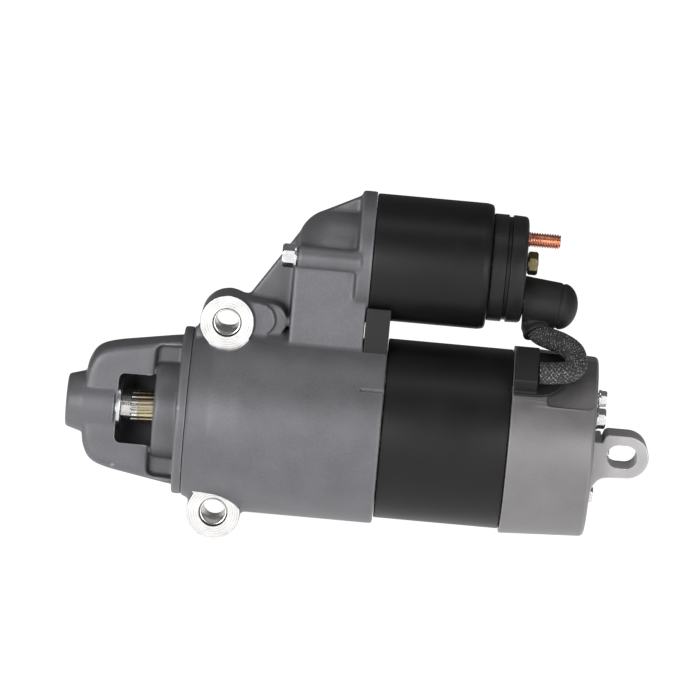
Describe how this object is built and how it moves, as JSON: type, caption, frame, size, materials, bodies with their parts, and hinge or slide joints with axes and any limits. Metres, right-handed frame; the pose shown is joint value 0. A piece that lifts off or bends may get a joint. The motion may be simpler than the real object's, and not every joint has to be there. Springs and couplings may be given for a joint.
{
  "type": "starter motor",
  "caption": "Pre-engaged starter motor: cast nose with pinion window, gear housing with mounting bosses, black motor tube, rear cover with slotted ear, solenoid on top with lead.",
  "frame": {"origin": "centre of the footprint at the lowest point, the underside of the lower mounting boss", "axes": "+X along the motor axis from nose to rear, +Z from the motor towards the solenoid, -Y towards the engine-side mounting faces"},
  "size_m": [0.2276, 0.0752, 0.1388],
  "materials": {
    "cast_paint": "grey satin cast paint",
    "black_paint": "black satin paint",
    "bare_aluminium": "as-cast aluminium",
    "machined_steel": "machined",
    "dark_steel": "dark hardened steel",
    "zinc": "bright zinc plate",
    "bronze": "sintered bronze",
    "copper": "copper",
    "brass": "dull brass",
    "rubber": "matt black rubber",
    "black_plastic": "black moulded plastic",
    "braid": "black braided sleeve",
    "carbon": "copper-graphite brush",
    "ferrite": "ferrite",
    "nylon": "glass-filled nylon"
  },
  "bodies": {
    "housing": {"nose_housing": "cast_paint", "gear_housing": "cast_paint", "yoke": "black_paint", "rear_cover": "bare_aluminium", "rear_bracket": "bare_aluminium", "bracket_screw": "zinc", "cover_screw": "zinc", "through_bolt_1": "zinc", "through_bolt_2": "zinc", "mount_sleeve_1": "machined_steel", "mount_sleeve_2": "machined_steel", "nose_bush": "bronze", "rear_bush": "bronze", "centre_plate": "machined_steel", "ring_gear": "nylon", "lever_pivot_pin": "machined_steel", "lever_grommet": "rubber", "solenoid_case": "black_paint", "solenoid_bobbin": "nylon", "solenoid_coil": "copper", "solenoid_core": "dark_steel", "return_spring": "dark_steel", "solenoid_cap": "black_plastic", "battery_terminal": "copper", "motor_terminal": "copper", "lead_lug": "copper", "motor_terminal_nut": "zinc", "switch_terminal": "brass", "switch_terminal_nut": "brass", "solenoid_screw_1": "zinc", "solenoid_screw_2": "zinc", "terminal_boot": "rubber", "motor_lead": "braid", "lead_grommet": "rubber", "brush_holder": "nylon", "magnet_1": "ferrite", "magnet_2": "ferrite", "magnet_3": "ferrite", "magnet_4": "ferrite"},
    "armature": {"armature_shaft": "machined_steel", "armature_core": "dark_steel", "armature_winding": "copper", "commutator": "copper"},
    "output_shaft": {"output_shaft": "machined_steel", "stop_collar": "zinc"},
    "planet_1": {"planet_gear_1": "dark_steel"},
    "planet_2": {"planet_gear_2": "dark_steel"},
    "planet_3": {"planet_gear_3": "dark_steel"},
    "clutch": {"clutch_sleeve": "dark_steel", "clutch_drum": "dark_steel"},
    "pinion": {"pinion": "dark_steel"},
    "shift_lever": {"shift_lever": "nylon"},
    "plunger": {"solenoid_plunger": "machined_steel"},
    "contact": {"contact_rod": "nylon", "contact_disc": "copper"},
    "brush_1": {"brush_1": "carbon"},
    "brush_2": {"brush_2": "carbon"},
    "brush_3": {"brush_3": "carbon"},
    "brush_4": {"brush_4": "carbon"}
  },
  "joints": [
    {"name": "armature_spin", "type": "hinge", "parent": "housing", "child": "armature", "pos_m": [0.032, 0, 0.0465], "axis": [1, 0, 0], "continuous": true},
    {"name": "output_shaft_spin", "type": "hinge", "parent": "housing", "child": "output_shaft", "pos_m": [-0.06, 0, 0.0465], "axis": [1, 0, 0], "continuous": true},
    {"name": "planet_1_spin", "type": "hinge", "parent": "output_shaft", "child": "planet_1", "pos_m": [0.0026, 0, 0.0615], "axis": [1, 0, 0], "continuous": true},
    {"name": "planet_2_spin", "type": "hinge", "parent": "output_shaft", "child": "planet_2", "pos_m": [0.0026, -0.01299, 0.039], "axis": [1, 0, 0], "continuous": true},
    {"name": "planet_3_spin", "type": "hinge", "parent": "output_shaft", "child": "planet_3", "pos_m": [0.0026, 0.01299, 0.039], "axis": [1, 0, 0], "continuous": true},
    {"name": "clutch_slide", "type": "slide", "parent": "output_shaft", "child": "clutch", "axis": [-1, 0, 0], "range_m": [0, 0.0137]},
    {"name": "pinion_overrun", "type": "hinge", "parent": "clutch", "child": "pinion", "pos_m": [-0.07, 0, 0.0465], "axis": [1, 0, 0], "continuous": true},
    {"name": "plunger_slide", "type": "slide", "parent": "housing", "child": "plunger", "axis": [1, 0, 0], "range_m": [0, 0.00985], "stiffness_N_per_m": 1500, "springref_m": -0.008, "deforming": ["return_spring"]},
    {"name": "lever_pivot", "type": "hinge", "parent": "housing", "child": "shift_lever", "pos_m": [-0.017, 0, 0.0856], "axis": [0, 1, 0], "range_deg": [0, 20.3]},
    {"name": "contact_slide", "type": "slide", "parent": "housing", "child": "contact", "axis": [1, 0, 0], "range_m": [0, 0.0025]},
    {"name": "brush_1_slide", "type": "slide", "parent": "housing", "child": "brush_1", "axis": [0, 1, 0], "range_m": [0, 0.003], "stiffness_N_per_m": 800, "springref_m": -0.004},
    {"name": "brush_2_slide", "type": "slide", "parent": "housing", "child": "brush_2", "axis": [0, 0, 1], "range_m": [0, 0.003], "stiffness_N_per_m": 800, "springref_m": -0.004},
    {"name": "brush_3_slide", "type": "slide", "parent": "housing", "child": "brush_3", "axis": [0, -1, 0], "range_m": [0, 0.003], "stiffness_N_per_m": 800, "springref_m": -0.004},
    {"name": "brush_4_slide", "type": "slide", "parent": "housing", "child": "brush_4", "axis": [0, 0, -1], "range_m": [0, 0.003], "stiffness_N_per_m": 800, "springref_m": -0.004}
  ],
  "couplings": [
    {"joint": "output_shaft_spin", "follows": "armature_spin", "ratio": 0.2},
    {"joint": "planet_1_spin", "follows": "armature_spin", "ratio": -0.53333},
    {"joint": "planet_2_spin", "follows": "armature_spin", "ratio": -0.53333},
    {"joint": "planet_3_spin", "follows": "armature_spin", "ratio": -0.53333},
    {"joint": "lever_pivot", "follows": "plunger_slide", "rad_per_m": 35.4},
    {"joint": "clutch_slide", "follows": "plunger_slide", "ratio": 1.37},
    {"joint": "contact_slide", "follows": "plunger_slide", "ratio": 0.25}
  ]
}
